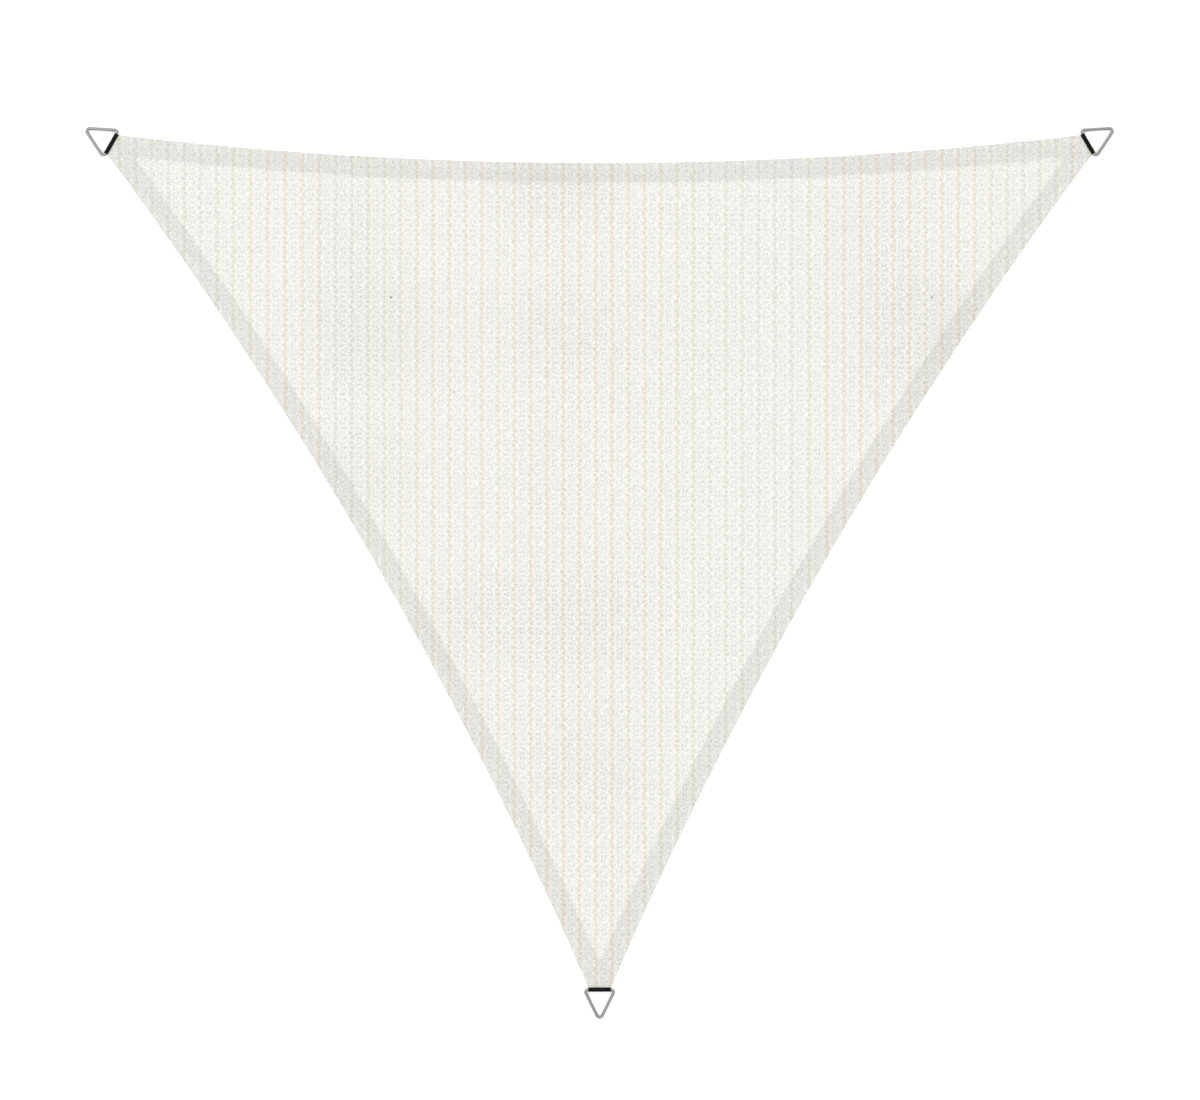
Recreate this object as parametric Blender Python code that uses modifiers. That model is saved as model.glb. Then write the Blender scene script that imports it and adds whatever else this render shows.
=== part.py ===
"""A triangular shade sail lying flat on the ground.

The cloth is one knitted panel with hollow edges and a hem turned to its underside. Each corner has a closed
triangular ring of round steel rod. A black webbing loop runs round the ring's base bar, and its two layers
lie together under the corner of the cloth as a flat tongue.

Metres, +Z up. The ground is z = 0 and the origin is the middle of the sail. One corner points to -Y.
"""

import math

import bpy
from mathutils import Vector
from mathutils.geometry import delaunay_2d_cdt

# The sail's cloth
SIDE = 2.5  # from one ring's base bar to the next
EDGE_SAG = 0.071  # how far the middle of each edge bows in
CORNER_WIDTH = 0.058  # of the cloth where it meets a ring
LAYER = 0.0012  # the thickness of one layer of cloth
HEM = 0.050
HEM_STEP = 0.002  # the hem's second layer runs out over this width
HEM_TIP = 0.076  # from a base bar to the blunt inner tip between two hems
EDGE_STEPS = 36

# The webbing loops
WEBBING = 0.0008
TONGUE = 0.040  # from the base bar to the tongue's end
LOOP_STEPS = 24

# The steel rings, along the rod's centreline before its corners are rounded
ROD = 0.008
RING_BASE = 0.079
RING_HEIGHT = 0.080
BASE_RADIUS = 0.0065
TIP_RADIUS = 0.0075
BASE_STEPS = 8
TIP_STEPS = 7  # odd, so that a flat lies across the tip
ROD_SIDES = 12

CLEARANCE = 0.0003  # between pieces that touch
TONGUE_MARGIN = 0.002  # past the tongue's end the cloth stays level for this length
RAMP = 0.030  # and then comes down to the ground over this length
RAMP_STEPS = 4
SAME_POINT = 1e-6

# The directions of the corners and of the edges between them, clockwise seen from above
CORNERS = {"left": 150, "right": 30, "front": -90}
EDGES = (90, -30, -150)
TURN = math.radians(60)  # between an edge's direction and a corner's

REACH = SIDE / math.sqrt(3)  # from the middle of the sail to a base bar
LOOP_INSIDE = ROD / 2 + CLEARANCE
LOOP_OUTSIDE = LOOP_INSIDE + WEBBING
BAR_HEIGHT = LOOP_OUTSIDE  # the loop rests on the ground
TONGUE_TOP = 2 * WEBBING
LIFT = TONGUE_TOP + CLEARANCE  # of the cloth over the tongue
LIFTED = TONGUE + TONGUE_MARGIN
CUT_REACH = REACH - LOOP_OUTSIDE - CLEARANCE  # to the cloth's cut end at a corner

# Each edge is an arc between the ends of two corners' cuts
ARC_END = Vector(
    (
        CUT_REACH * math.sin(TURN) - CORNER_WIDTH / 2 * math.cos(TURN),
        CUT_REACH * math.cos(TURN) + CORNER_WIDTH / 2 * math.sin(TURN),
    )
)
ARC_RADIUS = (ARC_END.x**2 + EDGE_SAG**2) / (2 * EDGE_SAG)
ARC_CENTRE = ARC_END.y - EDGE_SAG + ARC_RADIUS  # from the middle of the sail


def clear_scene():
    for obj in list(bpy.data.objects):
        bpy.data.objects.remove(obj, do_unlink=True)


def make_material(name, colour, roughness, metallic=0.0):
    material = bpy.data.materials.new(name)
    material.use_nodes = True
    shader = material.node_tree.nodes["Principled BSDF"]
    shader.inputs["Base Color"].default_value = (*colour, 1)
    shader.inputs["Roughness"].default_value = roughness
    shader.inputs["Metallic"].default_value = metallic
    return material


def add_object(name, data, material, collection):
    obj = bpy.data.objects.new(name, data)
    data.materials.append(material)
    collection.objects.link(obj)
    return obj


def direction(degrees):
    return Vector((math.cos(math.radians(degrees)), math.sin(math.radians(degrees))))


def sweep_at(inset, reach):
    """The angle round an edge's arc, from its middle, at which the parallel line at this inset is reach from
    the middle of the sail, measured along a corner's direction."""
    across = (reach - ARC_CENTRE * math.cos(TURN)) / (ARC_RADIUS + inset)
    return math.pi / 2 - TURN + math.asin(across)


def outline(inset, reaches):
    """The points of the closed line parallel to the edges, inset from them and cut off at the largest of the
    reaches. Each edge has a point at every reach near both of its ends."""
    ends = [sweep_at(inset, reach) for reach in sorted(reaches)]
    even = [ends[0] * (2 * step / EDGE_STEPS - 1) for step in range(1, EDGE_STEPS)]
    sweeps = [-sweep for sweep in reversed(ends)] + even + ends
    radius = ARC_RADIUS + inset
    return [
        direction(edge) * (ARC_CENTRE - radius * math.cos(sweep))
        + direction(edge - 90) * radius * math.sin(sweep)
        for edge in EDGES
        for sweep in sweeps
    ]


def closed_line(first, count):
    return [(first + i, first + (i + 1) % count) for i in range(count)]


def creases(count, crease_count):
    """Lines across each corner, between the points that two edges share a reach at."""
    edge_count = count // len(EDGES)
    return [
        (
            edge * edge_count + edge_count - 1 - step,
            (edge + 1) % len(EDGES) * edge_count + step,
        )
        for edge in range(len(EDGES))
        for step in range(1, crease_count + 1)
    ]


def inset_of(point):
    """How far a point of the cloth lies from the nearest edge."""
    return min((point - direction(edge) * ARC_CENTRE).length for edge in EDGES) - ARC_RADIUS


def lift_of(point):
    """The height of the cloth's underside: over a tongue it is lifted, and past it an S-curve runs down."""
    from_bar = REACH - max(point.dot(direction(corner)) for corner in CORNERS.values())
    part = min(max((from_bar - LIFTED) / RAMP, 0), 1)
    return LIFT * (1 - part * part * (3 - 2 * part))


def make_cloth(material, collection):
    """The underside as an open surface, thickened upwards: two layers at the hem and one inside it."""
    crease_reaches = [
        REACH - LIFTED - RAMP * step / RAMP_STEPS for step in range(RAMP_STEPS + 1)
    ]
    edge = outline(0, [CUT_REACH, *crease_reaches])
    hem = outline(HEM, [REACH - HEM_TIP])
    panel = outline(HEM + HEM_STEP, [REACH - HEM_TIP - HEM_STEP])
    lines = (
        closed_line(0, len(edge))
        + creases(len(edge), len(crease_reaches))
        + closed_line(len(edge), len(hem))
        + closed_line(len(edge) + len(hem), len(panel))
    )
    points, _, faces, *_ = delaunay_2d_cdt(edge + hem + panel, lines, [], 1, SAME_POINT)

    mesh = bpy.data.meshes.new("sail_cloth")
    mesh.from_pydata([(*point, lift_of(point)) for point in points], [], faces)
    if mesh.polygons[0].normal.z < 0:
        mesh.flip_normals()
    cloth = add_object("sail_cloth", mesh, material, collection)
    hem_group = cloth.vertex_groups.new(name="hem")
    in_hem = [i for i, p in enumerate(points) if inset_of(p) < HEM + HEM_STEP / 2]
    hem_group.add(in_hem, 1, "REPLACE")
    thicken = cloth.modifiers.new("thickness", "SOLIDIFY")
    thicken.thickness = 2 * LAYER
    thicken.offset = 1
    thicken.vertex_group = hem_group.name
    thicken.thickness_vertex_group = 0.5  # one of the hem's two layers


def arc(centre, radius, start, sweep, steps):
    return [
        centre + radius * direction(math.degrees(start + sweep * step / steps))
        for step in range(steps + 1)
    ]


def rounded_corner(before, corner, after, radius, steps):
    """The arc that rounds the corner between two straight lines, counter-clockwise."""
    back = (before - corner).normalized()
    on = (after - corner).normalized()
    half = back.angle(on) / 2
    centre = corner + (back + on).normalized() * radius / math.sin(half)
    start = corner + back * radius / math.tan(half) - centre
    return arc(centre, radius, math.atan2(start.y, start.x), math.pi - 2 * half, steps)


def ring_path():
    """The rod's centreline: the base bar along X and the tip to +Y. Also how far the tip reaches."""
    left = Vector((-RING_BASE / 2, 0))
    right = Vector((RING_BASE / 2, 0))
    tip = Vector((0, RING_HEIGHT))
    path = (
        rounded_corner(tip, left, right, BASE_RADIUS, BASE_STEPS)
        + rounded_corner(left, right, tip, BASE_RADIUS, BASE_STEPS)
        + rounded_corner(right, tip, left, TIP_RADIUS, TIP_STEPS)
    )
    return path, max(point.y for point in path)


def add_line(curve, points):
    spline = curve.splines.new("POLY")
    spline.points.add(len(points) - 1)
    for place, point in zip(spline.points, points):
        place.co = (*point, 0, 1)
    spline.use_cyclic_u = True
    return spline


def make_ring(name, corner, material, collection):
    """The tip lies on the ground and the base bar on the loop's webbing, so the ring slopes a little."""
    path, reach = ring_path()
    curve = bpy.data.curves.new(name, "CURVE")
    curve.dimensions = "3D"
    curve.bevel_depth = ROD / 2
    curve.bevel_resolution = (ROD_SIDES - 4) // 2
    for point in add_line(curve, path).points:
        point.tilt = math.pi / ROD_SIDES  # flats above, below, inside and outside
    ring = add_object(name, curve, material, collection)
    ring.parent = corner
    ring.rotation_euler.x = -math.asin((BAR_HEIGHT - ROD / 2) / reach)


def make_loop(name, corner, material, collection):
    """The section from the side, with the bar's centre as its origin, extruded along the bar."""
    middle = Vector((0, 0))
    bottom = -math.pi / 2
    rise = TONGUE_TOP - BAR_HEIGHT  # of the tongue's top above the bar's centre
    tuck = math.pi - math.asin(rise / LOOP_OUTSIDE)  # where the layers come together
    outside = [Vector((-TONGUE, rise)), Vector((-TONGUE, -BAR_HEIGHT))]
    outside += arc(middle, LOOP_OUTSIDE, bottom, tuck - bottom, LOOP_STEPS)
    curve = bpy.data.curves.new(name, "CURVE")
    curve.dimensions = "2D"
    curve.fill_mode = "BOTH"
    curve.extrude = CORNER_WIDTH / 2
    add_line(curve, outside)
    add_line(curve, arc(middle, LOOP_INSIDE, 0, 2 * math.pi, LOOP_STEPS)[:-1])
    loop = add_object(name, curve, material, collection)
    loop.parent = corner
    loop.rotation_euler = (math.pi / 2, 0, math.pi / 2)


def main():
    clear_scene()
    sail = bpy.data.collections.new("shade_sail")
    bpy.context.scene.collection.children.link(sail)
    knit = make_material("knit", (0.88, 0.88, 0.81), 0.85)
    steel = make_material("steel", (0.50, 0.50, 0.50), 0.35, 1.0)
    webbing = make_material("webbing", (0.012, 0.012, 0.012), 0.8)
    make_cloth(knit, sail)
    for name, degrees in CORNERS.items():
        corner = bpy.data.objects.new(f"corner_{name}", None)
        sail.objects.link(corner)
        corner.location = (*direction(degrees) * REACH, BAR_HEIGHT)
        corner.rotation_euler.z = math.radians(degrees - 90)
        make_ring(f"ring_{name}", corner, steel, sail)
        make_loop(f"loop_{name}", corner, webbing, sail)


main()
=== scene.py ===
import math

import bpy
import numpy as np
from mathutils import Matrix, Vector
from mathutils.geometry import delaunay_2d_cdt


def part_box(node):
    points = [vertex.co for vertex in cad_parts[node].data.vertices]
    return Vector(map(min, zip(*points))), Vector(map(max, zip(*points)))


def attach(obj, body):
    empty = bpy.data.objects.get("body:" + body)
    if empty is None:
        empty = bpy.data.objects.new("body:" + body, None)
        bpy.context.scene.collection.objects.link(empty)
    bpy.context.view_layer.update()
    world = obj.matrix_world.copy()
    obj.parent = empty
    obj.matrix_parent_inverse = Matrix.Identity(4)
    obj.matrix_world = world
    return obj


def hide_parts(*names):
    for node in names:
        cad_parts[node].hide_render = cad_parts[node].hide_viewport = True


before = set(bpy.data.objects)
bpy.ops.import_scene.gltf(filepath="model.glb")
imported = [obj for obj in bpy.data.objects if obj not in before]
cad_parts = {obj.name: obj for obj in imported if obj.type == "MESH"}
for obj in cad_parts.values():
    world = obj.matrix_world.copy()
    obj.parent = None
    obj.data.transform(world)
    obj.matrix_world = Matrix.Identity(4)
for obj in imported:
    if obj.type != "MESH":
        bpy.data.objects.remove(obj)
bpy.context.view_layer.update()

# Places that the frame gives: a ring's base bar, the webbing loop round it and the cloth's cut end
corners = {"front": -90, "right": 30, "left": 150}  # their directions from the middle of the sail
edges = (90, -30, -150)
turn = math.radians(60)  # between an edge's direction and a corner's
sailLow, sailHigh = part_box("sail_cloth")
loopLow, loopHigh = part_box("loop_front")
loopRadius = (loopHigh.z - loopLow.z) / 2
barHeight = (loopHigh.z + loopLow.z) / 2
barReach = -loopLow.y - loopRadius
strapWidth = loopHigh.x - loopLow.x
tongueLength = loopHigh.y + barReach
cutReach = -sailLow.y

cloth = dict(
    layer=0.0012,  # one thickness of the knit
    edgeBow=0.071,  # how far the middle of each edge bows in
    hem=0.050,
    hemTip=0.076,  # from a base bar to the blunt tip between two hems
    hemSlope=0.006,  # the upper layer comes down off the turned one over this width
    cutEdge=0.0004,  # width of the turned layer's cut edge, seen from below
    liftMargin=0.002,  # the cloth stays level this far past the webbing's end
    liftRamp=0.030,
    clearance=0.0003,
    ripple=0.0004,
    rippleX=(9.1, 2.3, 4.7),  # how close the ripples lie, and how much and how often they wander
    rippleY=(7.3, 1.9, 5.9),
    calmCorner=(0.08, 0.25),  # from a base bar: no ripple up to the first, all of it past the second
    calmEdge=0.12,
    # the sheet's points
    edgeSteps=300,
    hemLines=(0.12, 0.3, 0.5, 0.7, 0.88),  # shares of the hem's width
    slopeLines=(0, 0.0012, 0.0025, 0.0038, 0.005, 0.008),  # from the hem's inner line
    gridStep=0.016,
    gridMargin=0.014,  # from the hem's inner line
    cornerStep=0.006,
    cornerReach=0.09,  # from a base bar
    cornerMargin=0.004,  # from the cloth's edges
    tipMargin=0.003,  # from the hem's inner line
    foldSteps=4,
    sharpAngle=60,
    samePoint=1e-6,
)

# Each edge is an arc between the cut ends of two corners
cornerHalf = (sailHigh.y - cutReach * math.cos(turn)) / math.sin(turn)
arcEnd = cutReach * math.sin(turn) - cornerHalf * math.cos(turn)
arcRadius = (arcEnd**2 + cloth["edgeBow"] ** 2) / (2 * cloth["edgeBow"])
arcCentre = sailHigh.y - cloth["edgeBow"] + arcRadius
hemReach = barReach - cloth["hemTip"]


class Wire:
    # a socket in a sum: each operator adds its Math node
    def __init__(self, finish, socket):
        self.finish = finish
        self.socket = socket

    def __add__(self, other):
        return maths("ADD", self, other)

    def __radd__(self, other):
        return maths("ADD", other, self)

    def __sub__(self, other):
        return maths("SUBTRACT", self, other)

    def __rsub__(self, other):
        return maths("SUBTRACT", other, self)

    def __mul__(self, other):
        return maths("MULTIPLY", self, other)

    def __rmul__(self, other):
        return maths("MULTIPLY", other, self)

    def __truediv__(self, other):
        return maths("DIVIDE", self, other)


class Finish:
    # a material, and the one way its nodes are made
    def __init__(self, name, **constants):
        self.material = bpy.data.materials.new(name)
        self.material.use_nodes = True
        self.tree = self.material.node_tree
        self.shader = self.tree.nodes["Principled BSDF"]
        self.show(**constants)

    def node(self, kind, settings, values, out=0):
        made = self.tree.nodes.new(kind)
        for setting, value in settings.items():
            setattr(made, setting, value)
        for place, value in values.items():
            self.feed(made.inputs[place], value)
        return Wire(self, made.outputs[out])

    def feed(self, socket, value):
        if isinstance(value, Wire):
            self.tree.links.new(value.socket, socket)
        elif isinstance(value, tuple):
            socket.default_value = value[: len(socket.default_value)]
        else:
            socket.default_value = value

    def show(self, **values):
        for name, value in values.items():
            self.feed(self.shader.inputs[name.replace("_", " ")], value)
        return self.material


arraySums = dict(MINIMUM=np.minimum, MAXIMUM=np.maximum, SQRT=np.sqrt, COSINE=np.cos)


def maths(operation, *values):
    # one sum for the meshes, on arrays, and for their colours, on sockets
    for value in values:
        if isinstance(value, Wire):
            settings = dict(operation=operation)
            return value.finish.node("ShaderNodeMath", settings, dict(enumerate(values)))
    return arraySums[operation](*values)


def ease(value, low, high):
    # from 0 at low to 1 at high, level at both
    if isinstance(value, Wire):
        settings = dict(interpolation_type="SMOOTHSTEP")
        return value.finish.node("ShaderNodeMapRange", settings, {0: value, 1: low, 2: high})
    part = np.clip((value - low) / (high - low), 0, 1)
    return part * part * (3 - 2 * part)


def direction(degrees):
    return Vector((math.cos(math.radians(degrees)), math.sin(math.radians(degrees))))


def fromCentres(x, y):
    # how far a point lies from the centre of each edge's arc: along x, along y and straight
    for edge in edges:
        centre = direction(edge) * arcCentre
        alongX = x - centre.x
        alongY = y - centre.y
        yield alongX, alongY, maths("SQRT", alongX * alongX + alongY * alongY)


def insetOf(x, y):
    # how far a point lies inside the nearest edge
    nearest = 2 * arcRadius
    for _, _, away in fromCentres(x, y):
        nearest = maths("MINIMUM", nearest, away)
    return nearest - arcRadius


def fromBar(x, y):
    # how far a point lies inside the nearest base bar
    furthest = -barReach
    for corner in corners.values():
        way = direction(corner)
        furthest = maths("MAXIMUM", furthest, x * way.x + y * way.y)
    return barReach - furthest


def insideRim(x, y):
    # how far a point lies inside the cloth's edges and its cut ends
    return np.minimum(insetOf(x, y), fromBar(x, y) - barReach + cutReach)


def panelDepth(x, y):
    # how far a point lies inside the hem's inner line
    return maths("MINIMUM", insetOf(x, y) - cloth["hem"], fromBar(x, y) - cloth["hemTip"])


def underside(x, y):
    # the height of the knit's lower face: over the webbing, and lying almost flat elsewhere
    reach = fromBar(x, y)
    lifted = tongueLength + cloth["liftMargin"]
    lift = 2 * strap["thickness"] + cloth["clearance"]
    overWebbing = lift * (1 - ease(reach, lifted, lifted + cloth["liftRamp"]))
    closeX, swingX, oftenX = cloth["rippleX"]
    closeY, swingY, oftenY = cloth["rippleY"]
    sideways = np.sin(closeX * x + swingX * np.sin(oftenX * y))
    slow = 1 + sideways * np.cos(closeY * y - swingY * np.sin(oftenY * x))
    ripple = cloth["ripple"] * slow * ease(reach, *cloth["calmCorner"])
    return overWebbing + ripple * ease(insetOf(x, y), 0.0, cloth["calmEdge"])


def topSide(x, y):
    turned = 1 - ease(panelDepth(x, y), 0, cloth["hemSlope"])
    return underside(x, y) + cloth["layer"] * (1 + turned)


def meshPiece(name, points, faces):
    mesh = bpy.data.meshes.new(name)
    mesh.from_pydata(points, [], faces)
    mesh.validate()
    mesh.shade_smooth()
    piece = bpy.data.objects.new(name, mesh)
    bpy.context.scene.collection.objects.link(piece)
    return piece


def closedLine(inset, reach):
    # the points of the line this far inside the edges, cut off at this reach, clockwise from above
    radius = arcRadius + inset
    end = math.pi / 2 - turn + math.asin((reach - arcCentre * math.cos(turn)) / radius)
    sweeps = np.linspace(-end, end, cloth["edgeSteps"])
    parts = []
    for edge in edges:
        out = direction(edge)
        along = direction(edge - 90)
        far = arcCentre - radius * np.cos(sweeps)
        side = radius * np.sin(sweeps)
        parts.append(np.stack([out.x * far + along.x * side, out.y * far + along.y * side], 1))
    return np.concatenate(parts)


def hexGrid(step):
    columns = np.arange(sailLow.x, sailHigh.x, step)
    rows = np.arange(sailLow.y, sailHigh.y, step * math.sqrt(0.75))  # so that the triangles are even
    x, y = np.meshgrid(columns, rows)
    x[1::2] += step / 2
    return x.ravel(), y.ravel()


def sheetPlan(rim):
    # the cloth seen from above: its points, its faces, and which of the points lie on the rim
    lines = [rim]
    for share in cloth["hemLines"]:
        lines.append(closedLine(cloth["hem"] * share, cutReach - (cutReach - hemReach) * share))
    for depth in (-cloth["cutEdge"], *cloth["slopeLines"]):
        lines.append(closedLine(cloth["hem"] + depth, hemReach - depth))
    points = np.concatenate(lines)
    borders = []
    for first in range(0, len(points), len(rim)):
        borders += [(first + i, first + (i + 1) % len(rim)) for i in range(len(rim))]

    x, y = hexGrid(cloth["gridStep"])
    inside = panelDepth(x, y) > cloth["gridMargin"]
    points = np.concatenate([points, np.stack([x[inside], y[inside]], 1)])
    x, y = hexGrid(cloth["cornerStep"])
    inside = (insideRim(x, y) > cloth["cornerMargin"]) & (fromBar(x, y) < cloth["cornerReach"])
    inside &= panelDepth(x, y) < -cloth["tipMargin"]
    points = np.concatenate([points, np.stack([x[inside], y[inside]], 1)])

    flat = [Vector(point) for point in points]
    flat, _, faces, sources, *_ = delaunay_2d_cdt(flat, borders, [], 1, cloth["samePoint"])
    place = {source: i for i, found in enumerate(sources) for source in found}
    return np.array(flat), faces, [place[i] for i in range(len(rim))]


def sailSheet():
    roll = cloth["layer"]  # the fold at an edge is as round as its two layers are thick
    plan, faces, rim = sheetPlan(closedLine(roll, cutReach - roll))
    x, y = plan.T
    depth = panelDepth(x, y)
    gap = cloth["layer"] * (1 - ease(depth, 0, cloth["hemSlope"]))
    hollow = np.where(depth > -cloth["cutEdge"] / 2, gap, 0)  # beside the turned layer
    vertices = [np.stack([x, y, topSide(x, y)], 1), np.stack([x, y, underside(x, y) + hollow], 1)]

    # the fold between the upper and the lower face
    rings = [rim]
    made = 2 * len(plan)
    for step in range(1, cloth["foldSteps"]):
        angle = math.pi / 2 - math.pi / cloth["foldSteps"] * step
        inset = roll * (1 - math.cos(angle))
        line = closedLine(inset, cutReach - inset)
        height = underside(line[:, 0], line[:, 1]) + roll + roll * math.sin(angle)
        vertices.append(np.column_stack([line, height]))
        rings.append(range(made, made + len(line)))
        made += len(line)
    rings.append([len(plan) + i for i in rim])

    sides = [list(face) for face in faces]
    sides += [[len(plan) + i for i in reversed(face)] for face in faces]
    for upper, lower in zip(rings, rings[1:]):
        for i in range(len(rim)):
            on = (i + 1) % len(rim)
            sides.append([upper[i], upper[on], lower[on], lower[i]])
    piece = meshPiece("sailSheet", np.concatenate(vertices), sides)
    piece.data.set_sharp_from_angle(angle=math.radians(cloth["sharpAngle"]))
    for face in piece.data.polygons[len(faces) : 2 * len(faces)]:
        face.material_index = 1
    return piece


# The knit: sand and white wales, each a zigzag of two slanted stitches a repeat
knit = dict(
    stripePitch=0.04166,  # between two sand wales
    sandAt=-0.0214,
    whiteShift=0.472,  # of the pitch, from a sand wale to the next white one
    wider=((-0.96, -0.72), (0.44, 0.67)),  # where the wales stand a little further apart
    widerBy=0.0116,
    repeat=0.02475,
    rowAt=-0.4716,
    rowSlope=0.0135,
    rowWave=(0.0018, 0.19, 1.23),  # size, start and period of the rows' slow drift
    edgeGap=0.0030,
    needles=12,  # columns of small loops in a pitch
    courses=6,  # rows of small loops in a repeat
    sideWales=32,  # looked for to each side of the middle one
    trialStep=0.0005,  # between the heights that are tried for a wale's ends
    fewestTrials=8,  # inside the cloth, for a wale to be laid
    waleRounds=12,  # of correction for the drift
    rowRounds=8,
)


def waleAt(x):
    # a whole number on each sand wale
    drift = 0
    for start, end in knit["wider"]:
        drift = drift + ease(x, start, end) * knit["widerBy"]
    return (x - knit["sandAt"] - drift) / knit["stripePitch"]


def rowAt(x, y):
    # a whole number on each row where the wales lean left
    size, start, period = knit["rowWave"]
    wave = maths("COSINE", (y + start) * (2 * math.pi / period)) * size
    return (y + x * knit["rowSlope"] + wave - knit["rowAt"]) / knit["repeat"]


def waleX(number):
    x = number * knit["stripePitch"] + knit["sandAt"]
    for _ in range(knit["waleRounds"]):
        x = x + (number - waleAt(x)) * knit["stripePitch"]
    return x


def rowY(number, x):
    y = number * knit["repeat"] + knit["rowAt"] - x * knit["rowSlope"]
    for _ in range(knit["rowRounds"]):
        y = y + (number - rowAt(x, y)) * knit["repeat"]
    return y


def waleRuns(shift):
    # (x, lowest y, highest y) of each wale of one colour
    runs = []
    heights = np.arange(sailLow.y, sailHigh.y, knit["trialStep"])
    for number in range(-knit["sideWales"], knit["sideWales"] + 1):
        x = float(waleX(np.float64(number + shift)))
        inside = heights[insideRim(x, heights) > knit["edgeGap"]]
        if len(inside) > knit["fewestTrials"]:
            runs.append((x, inside[0], inside[-1]))
    return runs


# Stitches: slender and closed, with rings of points between two ends
roundSection = ((-1, 0), (-0.7, 0.72), (0, 1), (0.7, 0.72), (1, 0))  # across and up
flatSection = ((-1, 0), (0, 1), (1, 0))
closeStations = (0.06, 0.18, 0.34, 0.5, 0.66, 0.82, 0.94)  # where the cloth comes down off its hem
endRise = 0.1  # of the stitch's height, at its ends
nudge = 0.01  # of its length, to find its direction
steepPart = (0.30, 0.72)  # of its length, where it bends

waleShape = dict(
    section=roundSection,
    stations=(0.14, 0.5, 0.86),  # where its rings are, as shares of its length
    nearSlope=0.011,  # how near the hem's slope it has the close ones
    bend=0,
    sink=0.0001,
    overlap=0.0016,  # past the row, at each end
    slack=0.86,  # the sizes of the stitches that lean right and left
    full=1.12,
    shortest=0.004,
)
sandWale = dict(waleShape, halfWidth=0.0019, height=0.00085, zigzag=0.0014)
whiteWale = dict(waleShape, halfWidth=0.0018, height=0.00085, zigzag=0.0022)
inlayTape = dict(
    section=flatSection,
    stations=(0.08, 0.3, 0.43, 0.58, 0.72, 0.92),
    nearSlope=0.014,
    bend=1,
    halfWidth=0.0021,
    height=0.00050,
    sink=0.0001,
)
thread = dict(
    section=flatSection,
    stations=(0.12, 0.5, 0.88),
    nearSlope=0,
    bend=0,
    halfWidth=0.0005,
    height=0.0006,
    sink=0.0001,
    stitch=0.0046,
    gap=0.0008,
    rows=(0.041, 0.046),  # from the cloth's edge
    # the sewn box at each corner, over the webbing: from and to the base bar, and half its width
    box=(0.011, 0.036, 0.022),
)


def risen(along, bend):
    # the share of its rise that a stitch has made here: straight, or level at both ends
    return along + bend * (ease(along, *steepPart) - along)


def stitchFaces(sides, rings):
    # a point at each end, and closed rings of points between them
    faces = []
    last = 1 + sides * rings
    for i in range(sides):
        on = (i + 1) % sides
        faces.append((0, 1 + i, 1 + on))
        faces.append((last, last - sides + on, last - sides + i))
        for first in range(1, last - sides, sides):
            faces.append((first + i, first + sides + i, first + sides + on, first + on))
    return faces


def layStitches(name, stitches, shape):
    # a joined mesh of stitches on the cloth's top: each has its start, its end and its size
    stitches = np.array(stitches)
    middle = (stitches[:, 0:2] + stitches[:, 2:4]) / 2
    fromSlope = np.abs(panelDepth(middle[:, 0], middle[:, 1]) - cloth["hemSlope"] / 2)
    onSlope = fromSlope < shape["nearSlope"]
    bend = shape["bend"]
    points = []
    faces = []
    made = 0
    lots = ((stitches[~onSlope], shape["stations"]), (stitches[onSlope], closeStations))
    for some, stations in lots:
        profile = [(0.0, 0.0, endRise)]
        for at in stations:
            size = math.sqrt(1 - (2 * at - 1) ** 2)
            profile += [(at, size * side, size * top) for side, top in shape["section"]]
        profile.append((1.0, 0.0, endRise))
        along, across, up = np.array(profile).T[:, None, :]
        startX, startY, endX, endY, scale = some.T[:, :, None]
        wayX = endX - startX
        rise = risen(along + nudge, bend) - risen(along - nudge, bend)
        wayY = (endY - startY) * rise / (2 * nudge)
        aside = across * shape["halfWidth"] * scale / np.hypot(wayX, wayY)
        x = startX + wayX * along + wayY * aside
        y = startY + (endY - startY) * risen(along, bend) - wayX * aside
        z = topSide(x, y) - shape["sink"] + up * shape["height"] * scale
        points.append(np.stack([x, y, z], 2).reshape(-1, 3))
        pattern = stitchFaces(len(shape["section"]), len(stations))
        for _ in range(len(some)):
            faces += [[i + made for i in face] for face in pattern]
            made += len(profile)
    return meshPiece(name, np.concatenate(points), faces)


def waleStitches(name, shift, shape):
    stitches = []
    for x, low, high in waleRuns(shift):
        # two stitches a row
        first = math.floor(2 * float(rowAt(x, low)))
        last = math.ceil(2 * float(rowAt(x, high)))
        for number in range(first, last):
            lower = rowY(number / 2, x) - shape["overlap"]
            upper = rowY((number + 1) / 2, x) + shape["overlap"]
            leansRight = number % 2 == 0  # from each whole row, where the wale lies to the left
            lean = -shape["zigzag"] if leansRight else shape["zigzag"]
            size = shape["slack"] if leansRight else shape["full"]
            length = upper - lower
            start = max(lower, low)
            end = min(upper, high)
            if end - start > shape["shortest"]:
                startX = x + lean * (1 - 2 * (start - lower) / length)
                endX = x + lean * (1 - 2 * (end - lower) / length)
                stitches.append((startX, start, endX, end, size))
    return layStitches(name, stitches, shape)


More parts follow.
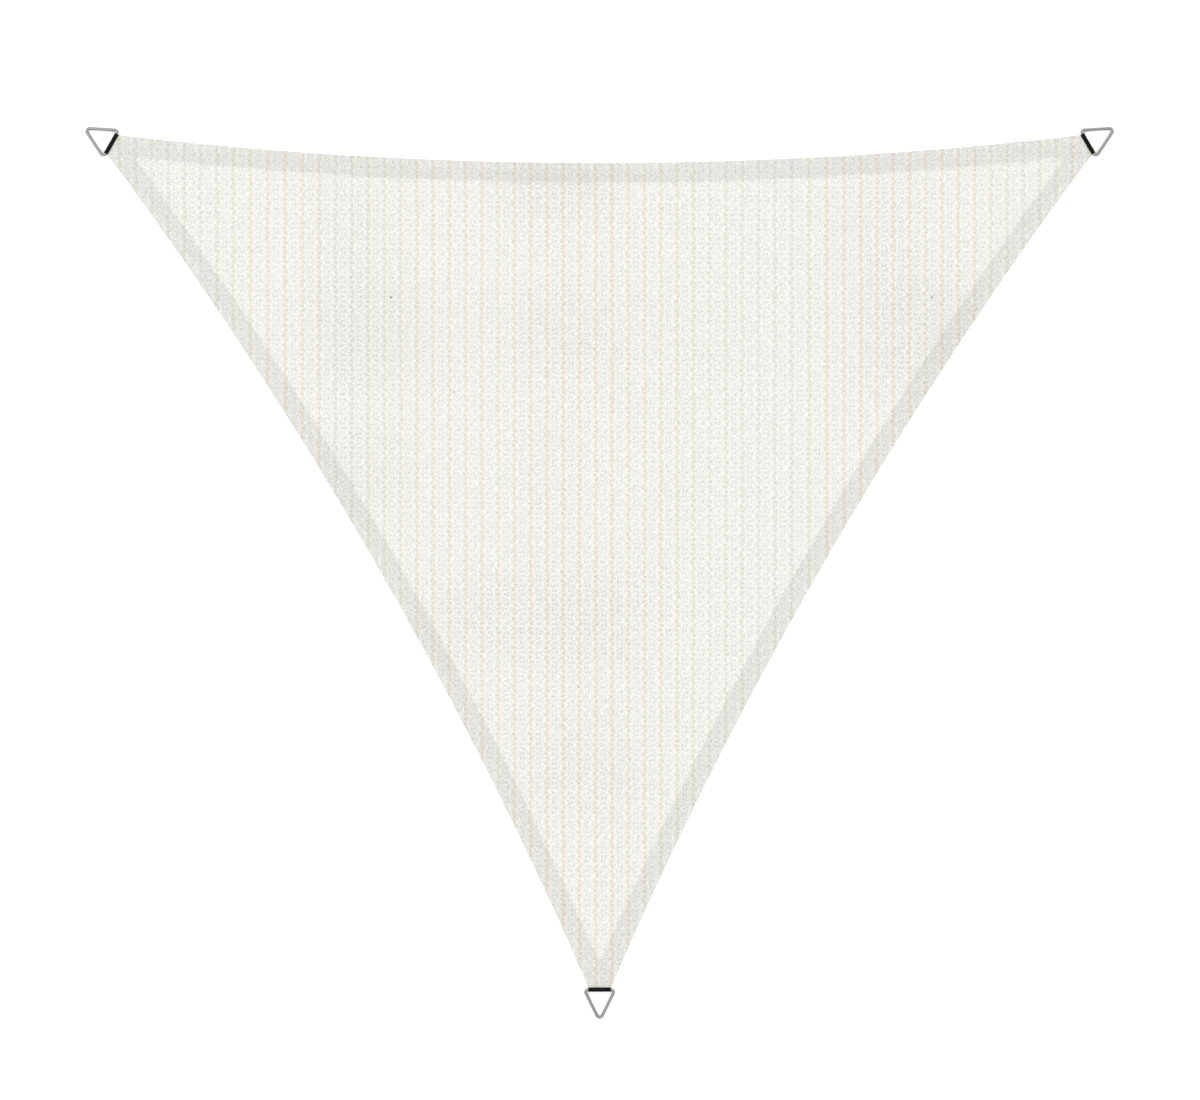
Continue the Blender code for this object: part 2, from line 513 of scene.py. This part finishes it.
def inlay(name, leftOf, shape):
    # flat tapes that run to and fro between each wale of one colour and the next wale on its right
    wales = [(run, sandWale) for run in waleRuns(0)]
    wales += [(run, whiteWale) for run in waleRuns(knit["whiteShift"])]
    wales.sort(key=lambda wale: wale[0][0])
    stitches = []
    for (left, leftShape), (right, rightShape) in zip(wales, wales[1:]):
        if leftShape is not leftOf:
            continue
        leftX = left[0] + leftShape["zigzag"]
        rightX = right[0] - rightShape["zigzag"]
        low = max(left[1], right[1])
        high = min(left[2], right[2])
        # half a row is kept free at both ends
        first = math.ceil(2 * float(rowAt(leftX, low)) + 0.5)
        last = math.floor(2 * float(rowAt(leftX, high)) - 0.5)
        for number in range(first, last):
            # half rows lie on the left wale and whole rows on the right one
            onLeft = number if number % 2 else number + 1
            onRight = number + 1 if number % 2 else number
            stitches.append((leftX, rowY(onLeft / 2, leftX), rightX, rowY(onRight / 2, rightX), 1))
    return layStitches(name, stitches, shape)


def sewLine(line, shape):
    # equal stitches along a line of points
    line = np.asarray(line)
    lengths = np.concatenate([[0], np.cumsum(np.linalg.norm(np.diff(line, axis=0), axis=1))])
    count = int(lengths[-1] / (shape["stitch"] + shape["gap"]))
    step = lengths[-1] / count
    starts = np.arange(count) * step
    ends = starts + step - shape["gap"]
    parts = [np.interp(at, lengths, line[:, i]) for at in (starts, ends) for i in (0, 1)]
    return np.column_stack(parts + [np.ones(count)])


def sewing(shape):
    sewn = []
    for inset in shape["rows"]:
        line = closedLine(inset, cutReach - (cutReach - hemReach) * inset / cloth["hem"])
        sewn.append(sewLine(np.concatenate([line, line[:1]]), shape))
    near, far, half = shape["box"]
    stops = [(near, -half), (near, half), (far, half), (far, -half), (near, -half), (far, half)]
    for degrees in corners.values():
        way = direction(degrees)
        side = direction(degrees - 90)
        line = [tuple(way * (barReach - back) + side * across) for back, across in stops]
        for ends in zip(line, line[1:]):
            sewn.append(sewLine(ends, shape))
    return layStitches("hemThread", np.concatenate(sewn), shape)


# The rings: round rod bent to a triangle
ring = dict(
    rod=0.008, base=0.079, height=0.080, baseRadius=0.0065, tipRadius=0.0075, sides=28, cornerSteps=14
)


def roundedCorner(before, corner, after, radius):
    back = (before - corner).normalized()
    on = (after - corner).normalized()
    half = back.angle(on) / 2
    centre = corner + (back + on).normalized() * radius / math.sin(half)
    start = corner + back * radius / math.tan(half) - centre
    first = math.atan2(start.y, start.x)
    sweep = math.pi - 2 * half
    points = []
    for i in range(ring["cornerSteps"] + 1):
        angle = first + sweep * i / ring["cornerSteps"]
        points.append(centre + radius * Vector((math.cos(angle), math.sin(angle))))
    return points


def ringPath():
    left = Vector((-ring["base"] / 2, 0))
    right = Vector((ring["base"] / 2, 0))
    tip = Vector((0, ring["height"]))
    return (
        roundedCorner(tip, left, right, ring["baseRadius"])
        + roundedCorner(left, right, tip, ring["baseRadius"])
        + roundedCorner(right, tip, left, ring["tipRadius"])
    )


def tubeFaces(rings, sides):
    # the faces of a closed tube whose last ring joins its first
    faces = []
    for i in range(rings):
        on = (i + 1) % rings
        for side in range(sides):
            after = (side + 1) % sides
            faces.append((i * sides + side, on * sides + side, on * sides + after, i * sides + after))
    return faces


def ringMesh():
    path = ringPath()
    points = []
    for i, place in enumerate(path):
        way = (path[(i + 1) % len(path)] - path[i - 1]).normalized()
        out = Vector((way.y, -way.x))
        for side in range(ring["sides"]):
            angle = 2 * math.pi * side / ring["sides"]
            flat = place + out * ring["rod"] / 2 * math.cos(angle)
            points.append((flat.x, flat.y, ring["rod"] / 2 * math.sin(angle)))
    return points, tubeFaces(len(path), ring["sides"])


def cornerPlace(degrees):
    # the middle of a corner's base bar, with Y outwards
    way = direction(degrees) * barReach
    heading = Matrix.Rotation(math.radians(degrees - 90), 4, "Z")
    return Matrix.Translation((way.x, way.y, barHeight)) @ heading


def steelRings():
    points, faces = ringMesh()
    reach = max(point[1] for point in points) - ring["rod"] / 2
    slope = Matrix.Rotation(-math.asin((barHeight - ring["rod"] / 2) / reach), 4, "X")
    pieces = []
    for name, degrees in corners.items():
        piece = meshPiece(f"steelRing_{name}", points, faces)
        piece.matrix_world = cornerPlace(degrees) @ slope
        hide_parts(f"ring_{name}")
        pieces.append(piece)
    return pieces


# The webbing loops: ribbed webbing round a ring's base bar, with both ends under the cloth
strap = dict(
    thickness=0.0008,
    ribs=20,
    ribRise=0.00016,
    picks=0.0021,  # between two threads across
    softEdge=0.0004,
    leaveAt=208,  # degrees round the bar, where the upper layer leaves it
    fall=0.0035,  # the upper layer comes down on the lower one over this length
    ribSteps=4,  # the mesh's steps: across a rib, along the lower layer, round the bar and back
    tongueSteps=24,
    wrapSteps=48,
    backSteps=29,
    crowding=1.5,  # how much closer the last ones stand near the bar
    sharpAngle=70,
)


def strapPath():
    # the middle of the webbing's thickness, from its lower end round the bar to its upper end, as
    # (outwards, up)
    half = strap["thickness"] / 2
    radius = loopRadius - half
    lowest = half - barHeight
    steps = strap["tongueSteps"]
    path = [(-tongueLength + tongueLength * i / steps, lowest) for i in range(steps)]
    leave = math.radians(strap["leaveAt"])
    for i in range(strap["wrapSteps"] + 1):
        angle = -math.pi / 2 + (leave + math.pi / 2) * i / strap["wrapSteps"]
        path.append((radius * math.cos(angle), radius * math.sin(angle)))
    lastX, lastY = path[-1]
    level = 3 * half - barHeight  # on the lower layer
    for i in range(1, strap["backSteps"] + 1):
        x = lastX - (tongueLength + lastX) * (i / strap["backSteps"]) ** strap["crowding"]
        drop = float(ease(lastX - x, -strap["fall"], strap["fall"]))
        path.append((x, max(level, lastY + (level - lastY) * (2 * drop - 1))))
    return [Vector(place) for place in path]


def strapMesh():
    # points as (across, outwards, up) from the base bar's middle
    path = strapPath()
    half = strap["thickness"] / 2
    span = strapWidth / 2 - strap["softEdge"]
    sideways = np.linspace(-span, span, strap["ribs"] * strap["ribSteps"] + 1)
    points = []
    for i, place in enumerate(path):
        way = (path[min(i + 1, len(path) - 1)] - path[max(i - 1, 0)]).normalized()
        out = Vector((way.y, -way.x))
        for face in (1, -1):
            for side in sideways[::face]:
                rib = abs(math.sin(math.pi * strap["ribs"] * (side + span) / (2 * span)))
                rise = (half - strap["ribRise"] * (1 - rib)) * face
                points.append((-side, place.x + out.x * rise, place.y + out.y * rise))
            points.append((-(span + strap["softEdge"]) * face, place.x, place.y))
    around = 2 * (len(sideways) + 1)
    faces = []
    for i in range(len(path) - 1):
        for side in range(around):
            after = (side + 1) % around
            first = i * around
            on = first + around
            faces.append((first + side, first + after, on + after, on + side))
    faces.append(tuple(reversed(range(around))))
    faces.append(tuple(range((len(path) - 1) * around, len(path) * around)))
    return points, faces


def webbingLoops():
    points, faces = strapMesh()
    pieces = []
    for name, degrees in corners.items():
        piece = meshPiece(f"webbing_{name}", points, faces)
        piece.data.set_sharp_from_angle(angle=math.radians(strap["sharpAngle"]))
        piece.matrix_world = cornerPlace(degrees)
        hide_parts(f"loop_{name}")
        pieces.append(piece)
    return pieces


studio = dict(
    world=1.03,
    lamp=270.0,
    lampSize=8.0,
    lampAt=(-5.0, 3.5, 15.0),
    white=1.15,  # how bright the light makes plain white
    floorColour=(0.97, 0.97, 0.97, 1),
    floorClouds=(1.5, 0.99, 0.02),  # scale, least brightness and what they add
    floorGlow=0.25,
    floorHalf=20.0,
    floorSteps=40,
    floorDrop=0.00002,  # below the sail's rest face
    cameraHeight=12.0,
    view=(3.0722, 0.001, -0.318),  # the width that the picture shows, and the middle of it
    clipEnd=100,
)


def shown(colour):
    # the shader's value for a colour that the picture shows, by the sRGB curve
    values = []
    for value in colour:
        part = value / 255
        light = part / 12.92 if part <= 0.04045 else ((part + 0.055) / 1.055) ** 2.4
        values.append(light / studio["white"])
    return (*values, 1)


def ownSpace(finish):
    return finish.node("ShaderNodeTexCoord", {}, {}, "Object")


def places(finish, where):
    # the x and y of a point
    x = finish.node("ShaderNodeSeparateXYZ", {}, {0: where})
    return x, Wire(finish, x.socket.node.outputs["Y"])


def noise(finish, where, scale, detail=2.0, roughness=0.5):
    values = {"Vector": where, "Scale": scale, "Detail": detail, "Roughness": roughness}
    return finish.node("ShaderNodeTexNoise", {}, values, "Fac")


def streaks(finish, where, factors, detail=2.0, roughness=0.5):
    # noise that is drawn out along the axes whose factors are small
    drawn = finish.node("ShaderNodeVectorMath", dict(operation="MULTIPLY"), {0: where, 1: factors})
    return noise(finish, drawn, 1.0, detail, roughness)


def mixed(finish, factor, first, second):
    return finish.node("ShaderNodeMix", dict(data_type="RGBA"), {0: factor, 6: first, 7: second}, 2)


def scaled(finish, colour, factor):
    return finish.node("ShaderNodeVectorMath", dict(operation="SCALE"), {0: colour, 3: factor})


def bumped(finish, height, strength, distance):
    values = {"Height": height, "Strength": strength, "Distance": distance}
    return finish.node("ShaderNodeBump", {}, values, "Normal")


# The knit's colours, as the picture shows them, 0 to 255
tone = dict(
    white=(253.5, 254, 248.2),
    sand=(247, 244, 231),
    # the gap colours are painted shade in the recesses between the stitches
    whiteGap=(197, 199, 190),
    sandGap=(198, 191, 154),
    whiteYarn=(250, 251.5, 246),
    sandYarn=(242, 239, 219),
    paleSandYarn=(242.5, 242.5, 229.5),
    bright=1.134,
    slow=(5.0, 3.0, 0.992, 0.016),  # slow changes: scale, detail, least and size
    sandHalfWidth=0.0045,
    sandUneven=0.003,
    sandRim=0.0008,
    sandShare=(0.55, 0.5),  # how much of its colour a stripe shows at least, and what its strength adds
    strong=(-19, -17, -11, -2, 1, 14, 16, 22, 23),  # stripes that stand out, counted from the middle
    faint=(-27, -24, -13, -6, 7, 10, 20),
    plain=(0.35, 0.3),  # the other stripes' least strength, and what chance adds
    apart=0.35,  # how far the strong and the faint ones are from them
    hem=0.884,  # painted shade of the double layer: the hem's brightness beside the panel's
    hemRim=(0.0004, 0.0028),  # inside the hem's inner line, where that changes
    loops=0.11,  # painted shade: how dark the ground is between the small loops
    uneven=0.185,  # from loop to loop
    besideWhite=0.022,  # how much darker the ground is round a white wale
    whiteReach=(0.003, 0.012),
    # soft darker places in the knit: x and y of the middle, half the width and height, and size
    patches=(
        (-0.594, 0.243, 0.16, 0.15, 0.052), (-0.630, 0.500, 0.12, 0.16, 0.022),
        (-0.110, 0.600, 0.17, 0.09, 0.040), (-0.087, 0.243, 0.16, 0.13, 0.034),
        (0.220, 0.220, 0.22, 0.13, 0.010), (0.820, 0.243, 0.19, 0.16, 0.048),
        (0.700, 0.500, 0.15, 0.20, 0.020), (-0.600, -0.110, 0.13, 0.13, 0.028),
        (-0.125, -0.100, 0.11, 0.22, 0.013), (0.195, -0.154, 0.10, 0.11, 0.010),
        (-0.320, -0.500, 0.16, 0.12, 0.028), (-0.045, -0.490, 0.18, 0.16, 0.034),
        (-0.045, -0.860, 0.19, 0.15, 0.028), (-0.360, 0.220, 0.12, 0.14, 0.012),
    ),
    # lanes where the knit's texture is stronger or weaker, in the same way
    lanes=(
        (-0.830, 0.400, 0.15, 0.45, -0.13), (-0.635, 0.280, 0.05, 0.33, 0.18),
        (-0.420, 0.100, 0.19, 0.60, -0.19), (0.553, 0.200, 0.10, 0.75, -0.19),
        (0.775, 0.330, 0.06, 0.30, 0.14), (1.000, 0.500, 0.09, 0.20, -0.13),
        (0.000, -0.290, 0.60, 0.07, -0.10), (-0.100, -0.450, 0.40, 0.13, 0.18),
        (-0.080, 0.600, 0.17, 0.09, 0.09),
    ),
    placeRim=(0.2, 1.4),  # of half the size of a place, where it starts to fade and where it ends
    evenedBy=0.17,  # keeps the brightness of those lanes
    specks=((-0.534, 0.329, 0.75), (0.851, 0.329, 0.6), (-0.3728, 0.0865, 0.5), (0.574, 0.150, 0.25)),
    speckSize=0.0030,
)
# The knit's gaps beside the wales at each whole row, and mirrored at each half row: across from the
# wale, up from the row, half the width and height, and depth, which also sets the painted shade in them
gaps = dict(
    white=(
        (0.0024, -0.0003, 0.0030, 0.0024, 0.35), (-0.0038, -0.0026, 0.0042, 0.0014, 0.25),
        (-0.0054, 0.0040, 0.0020, 0.0018, 0.25),
    ),
    sand=(
        (-0.0003, -0.0002, 0.0040, 0.0026, 0.27), (-0.0057, 0.0036, 0.0020, 0.0018, 0.24),
        (-0.0046, -0.0027, 0.0024, 0.0014, 0.20),
    ),
    rim=(0.66, 1.02),  # of half the size of a gap, where it starts to fade and where it ends
    open=(0.74, 0.56),  # how open each one is at least, and what chance adds
    openPatches=7.0,  # how much further they open in the darker places
    wander=(420.0, 0.004),  # scale and size of their uneven outlines
)
# The small loops, in their own columns and rows, and the threads in them
loop = dict(
    lean=0.36,
    leg=(0.35, 1.1),  # from the middle of a leg, where it starts to fade and where it ends
    ends=(0.6, 1.1),
    endFade=0.7,
    rise=0.6,
    threads=(1500.0, 500.0, 1500.0),
    threadRise=0.25,
    relief=(0.7, 0.0007),  # strength and height
)


def hole(alongX, alongY, width, length):
    # 1 in the middle of a gap between stitches and 0 at its rim
    alongX = alongX / width
    alongY = alongY / length
    return 1 - ease(maths("SQRT", alongX * alongX + alongY * alongY), *gaps["rim"])


def softPlaces(x, y, rows):
    # the sum of soft rectangles
    inner, outer = tone["placeRim"]
    total = 0
    for placeX, placeY, halfWidth, halfHeight, size in rows:
        sideways = 1 - ease(maths("ABSOLUTE", x - placeX), halfWidth * inner, halfWidth * outer)
        upright = 1 - ease(maths("ABSOLUTE", y - placeY), halfHeight * inner, halfHeight * outer)
        total = total + size * sideways * upright
    return total


def clothShade(finish, where, x, y, darker):
    # brightness that the knit's layers share: the double hem's painted shade, darker places, specks and
    # slow changes
    # painted shade on the hem's double layer
    shade = tone["bright"] * (1 - (1 - tone["hem"]) * (1 - ease(panelDepth(x, y), *tone["hemRim"])))
    for speckX, speckY, depth in tone["specks"]:
        shade = shade * (1 - depth * hole(x - speckX, y - speckY, tone["speckSize"], tone["speckSize"]))
    scale, detail, least, size = tone["slow"]
    slow = noise(finish, where, scale, detail)
    return shade * (1 - darker) * (least + slow * size)


def dice(finish, across, along):
    # a random value for each whole pair of numbers
    pair = finish.node("ShaderNodeCombineXYZ", {}, {0: across, 1: along})
    return finish.node("ShaderNodeTexWhiteNoise", dict(noise_dimensions="2D"), {"Vector": pair})


def whole(value):
    return maths("FLOOR", value + 0.5)


def fromWhole(value):
    return maths("WRAP", value, 0.5, -0.5)


def stripeStrength(finish, wale):
    # 0 to 1 for each sand stripe: the photograph's strong and faint ones, and chance for the rest
    number = whole(wale)
    least, chance = tone["plain"]
    strength = least + dice(finish, number, 0.0) * chance
    for change, stripes in ((tone["apart"], tone["strong"]), (-tone["apart"], tone["faint"])):
        for stripe in stripes:
            strength = strength + maths("COMPARE", number, stripe, 0.25) * change
    return strength


def openGaps(finish, wale, row, kinds, darker, wander):
    # how open the knit is beside the wales of one colour, each gap a little different: the gaps' depth
    # and their painted shade
    across = fromWhole(wale) * knit["stripePitch"] + wander
    total = 0
    for side, rows in ((1, row), (-1, row + 0.5)):
        along = fromWhole(rows) * knit["repeat"]
        for shift, offset, width, length, depth in kinds:
            total = total + hole(across * side - shift, along - offset, width, length) * depth
    least, chance = gaps["open"]
    ownOpening = least + dice(finish, whole(wale), whole(row * 2)) * chance
    return total * (ownOpening + darker * gaps["openPatches"])


def beforeFolding(x, y):
    # where a point of the turned hem, seen from below, lay in the knit before it was folded
    flatX = x
    flatY = y
    hair = 0.000005
    limit = maths("MINIMUM", insetOf(x, y) + hair, cloth["hem"])  # over the nearest edge only
    for alongX, alongY, away in fromCentres(x, y):
        back = (away - arcRadius) * maths("LESS_THAN", away - arcRadius, limit) * 2 / away
        flatX = flatX - alongX * back
        flatY = flatY - alongY * back
    return flatX, flatY


def knitFinish(name, turned=False):
    finish = Finish(name, Roughness=0.88)
    where = ownSpace(finish)
    x, y = places(finish, where)
    darker = softPlaces(x, y, tone["patches"])
    stronger = softPlaces(x, y, tone["lanes"])
    shade = clothShade(finish, where, x, y, darker) * (1 + stronger * tone["evenedBy"])
    texture = 1 + stronger
    scale, size = gaps["wander"]
    wander = (noise(finish, where, scale) - 0.5) * size
    if turned:
        x, y = beforeFolding(x, y)
    wale = waleAt(x)
    row = rowAt(x, y)

    # small loops in pairs of columns that lean together, and no two quite alike
    across = wale * knit["needles"]
    along = row * knit["courses"]
    ownShade = dice(finish, maths("FLOOR", across), maths("FLOOR", along))
    inColumn = maths("ABSOLUTE", maths("WRAP", across, 1.0, -1.0))
    inRow = fromWhole(along)
    fromLeg = maths("ABSOLUTE", inColumn - 0.5 - inRow * loop["lean"]) * 2
    legs = 1 - ease(fromLeg, *loop["leg"])
    loops = legs * (1 - ease(maths("ABSOLUTE", inRow) * 2, *loop["ends"]) * loop["endFade"])

    sandBy = maths("ABSOLUTE", fromWhole(wale) * knit["stripePitch"])
    sandEdge = tone["sandHalfWidth"] + (ownShade - 0.5) * tone["sandUneven"]
    sandMask = 1 - ease(sandBy - sandEdge, -tone["sandRim"], tone["sandRim"])
    sandGapShading = openGaps(finish, wale, row, gaps["sand"], darker, wander) * texture
    whiteNumber = wale - knit["whiteShift"]
    whiteGapShading = openGaps(finish, whiteNumber, row, gaps["white"], darker, wander) * texture
    whiteBy = maths("ABSOLUTE", fromWhole(whiteNumber) * knit["stripePitch"])
    shade = shade * (1 - tone["besideWhite"] * (1 - ease(whiteBy, *tone["whiteReach"])))
    least, added = tone["sandShare"]
    sandMask = sandMask * (least + stripeStrength(finish, wale) * added)
    colour = mixed(finish, sandMask, shown(tone["white"]), shown(tone["sand"]))
    # painted shade in the gaps beside the wales
    colour = mixed(finish, sandGapShading, colour, shown(tone["sandGap"]))
    colour = mixed(finish, whiteGapShading, colour, shown(tone["whiteGap"]))
    # painted shade on the ground between the small loops
    shade = shade * (1 - texture * tone["loops"] * (1 - loops))
    shade = shade * (1 - texture * tone["uneven"] * ownShade)
    threads = streaks(finish, where, loop["threads"])
    height = loops * loop["rise"] + threads * loop["threadRise"] - whiteGapShading - sandGapShading
    normal = bumped(finish, height, *loop["relief"])
    return finish.show(Base_Color=scaled(finish, colour, shade), Normal=normal)


yarn = dict(
    twist=(2200.0, 420.0, 900.0),
    least=0.92,
    chance=0.11,  # added from loop to loop
    twistShade=0.10,
    relief=(0.9, 0.0007),
)


def yarnFinish(name, colour, kind=None):
    finish = Finish(name, Roughness=0.80)
    where = ownSpace(finish)
    x, y = places(finish, where)
    wale = waleAt(x)
    row = rowAt(x, y)
    ownShade = dice(finish, whole(wale * knit["needles"]), maths("FLOOR", row * knit["courses"]))
    twist = streaks(finish, where, yarn["twist"])
    darker = softPlaces(x, y, tone["patches"])
    shade = clothShade(finish, where, x, y, darker) * (yarn["least"] + ownShade * yarn["chance"])
    shade = shade * (yarn["least"] + twist * yarn["twistShade"])
    base = shown(colour)
    if kind == "sand":
        base = mixed(finish, stripeStrength(finish, wale), shown(tone["paleSandYarn"]), base)
    if kind:
        # painted shade where a stitch goes under the next
        wale = wale if kind == "sand" else wale - knit["whiteShift"]
        shadeUnder = openGaps(finish, wale, row, gaps[kind], 0.0, 0.0)
        shadeUnder = shadeUnder * (1 + softPlaces(x, y, tone["lanes"]))
        base = mixed(finish, shadeUnder, base, shown(tone[kind + "Gap"]))
    normal = bumped(finish, twist, *yarn["relief"])
    return finish.show(Base_Color=scaled(finish, base, shade), Normal=normal)


steel = dict(
    colour=(162, 162, 161),
    clouds=60.0,
    brushed=(900.0, 900.0, 2600.0),
    bright=(0.88, 0.14, 0.10),  # least, and what the clouds and the brushed lines add
    rough=(0.24, 0.16),
    relief=(0.12, 0.0002),
)


def steelFinish():
    finish = Finish("satinSteel", Metallic=1.0)
    where = ownSpace(finish)
    cloudy = noise(finish, where, steel["clouds"])
    lines = streaks(finish, where, steel["brushed"], detail=3.0, roughness=0.65)
    least, clouds, brushed = steel["bright"]
    colour = scaled(finish, shown(steel["colour"]), least + cloudy * clouds + lines * brushed)
    smoothest, rougher = steel["rough"]
    normal = bumped(finish, lines, *steel["relief"])
    return finish.show(Base_Color=colour, Roughness=smoothest + lines * rougher, Normal=normal)


weave = dict(
    colour=(17, 17, 17),
    fuzz=900.0,
    wander=(1080.0, 1.5),  # how often and how far the threads across wander
    bright=(0.75, 0.18, 0.5),  # least, and what the threads and the fuzz add
    rise=0.6,
    relief=(0.6, 0.0004),
)


def webbingFinish():
    finish = Finish("blackWebbing", Roughness=0.85, Specular_IOR_Level=0.15)
    where = ownSpace(finish)
    x, y = places(finish, where)
    fuzz = noise(finish, where, weave["fuzz"], detail=3.0, roughness=0.7)
    often, far = weave["wander"]
    picks = maths("SINE", y * (2 * math.pi / strap["picks"]) + maths("SINE", x * often) * far)
    least, threads, fuzzy = weave["bright"]
    colour = scaled(finish, shown(weave["colour"]), least + picks * threads + fuzz * fuzzy)
    normal = bumped(finish, picks * weave["rise"] + fuzz, *weave["relief"])
    return finish.show(Base_Color=colour, Normal=normal)


def floorFinish():
    glow = dict(Emission_Color=(1, 1, 1, 1), Emission_Strength=studio["floorGlow"])
    finish = Finish("studioFloor", Roughness=0.95, **glow)
    scale, least, added = studio["floorClouds"]
    cloud = noise(finish, ownSpace(finish), scale)
    return finish.show(Base_Color=scaled(finish, studio["floorColour"], least + cloud * added))


def makeFloor():
    steps = studio["floorSteps"]
    line = np.linspace(-studio["floorHalf"], studio["floorHalf"], steps + 1)
    x, y = np.meshgrid(line, line)
    points = np.stack([x.ravel(), y.ravel(), np.full(x.size, -studio["floorDrop"])], 1)
    faces = []
    for row in range(steps):
        for column in range(steps):
            first = row * (steps + 1) + column
            faces.append((first, first + 1, first + steps + 2, first + steps + 1))
    floor = meshPiece("floor", points, faces)
    floor.data.materials.append(floorFinish())
    return floor


def lightAndCamera():
    scene = bpy.context.scene
    scene.view_settings.view_transform = "Standard"
    world = bpy.data.worlds.new("studio")
    world.use_nodes = True
    background = world.node_tree.nodes["Background"]
    background.inputs["Color"].default_value = (1, 1, 1, 1)
    background.inputs["Strength"].default_value = studio["world"]
    scene.world = world
    lamp = bpy.data.objects.new("softbox", bpy.data.lights.new("softbox", "AREA"))
    lamp.data.shape = "SQUARE"
    lamp.data.size = studio["lampSize"]
    lamp.data.energy = studio["lamp"]
    lamp.location = studio["lampAt"]
    lamp.rotation_euler = (-lamp.location).to_track_quat("-Z", "Y").to_euler()
    scene.collection.objects.link(lamp)

    width, x, y = studio["view"]
    camera = bpy.data.objects.new("camera", bpy.data.cameras.new("camera"))
    camera.location = (x, y, studio["cameraHeight"])
    camera.data.lens = camera.data.sensor_width * studio["cameraHeight"] / width
    camera.data.clip_end = studio["clipEnd"]
    scene.collection.objects.link(camera)
    scene.camera = camera


lightAndCamera()
floor = makeFloor()
print("studio ready")

sheet = sailSheet()
sheet.data.materials.append(knitFinish("knit"))
sheet.data.materials.append(knitFinish("knitUnderside", turned=True))
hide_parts("sail_cloth")
print("cloth ready:", len(sheet.data.polygons), "faces")

sandWales = waleStitches("sandWales", 0, sandWale)
sandWales.data.materials.append(yarnFinish("sandYarn", tone["sandYarn"], "sand"))
whiteWales = waleStitches("whiteWales", knit["whiteShift"], whiteWale)
whiteWales.data.materials.append(yarnFinish("whiteYarn", tone["whiteYarn"], "white"))
inlays = [inlay("inlayBySand", sandWale, inlayTape), inlay("inlayByWhite", whiteWale, inlayTape)]
whiteTape = yarnFinish("whiteTape", tone["white"])
for piece in inlays:
    piece.data.materials.append(whiteTape)
hemThread = sewing(thread)
hemThread.data.materials.append(yarnFinish("whiteThread", tone["whiteYarn"]))
knitted = [sandWales, whiteWales, *inlays, hemThread]
print("knit ready:", [len(piece.data.polygons) for piece in knitted])

rings = steelRings()
satinSteel = steelFinish()
for piece in rings:
    piece.data.materials.append(satinSteel)
loops = webbingLoops()
blackWebbing = webbingFinish()
for piece in loops:
    piece.data.materials.append(blackWebbing)
print("rings and webbing ready")

for piece in [sheet, *knitted, *rings, *loops]:
    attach(piece, "root")
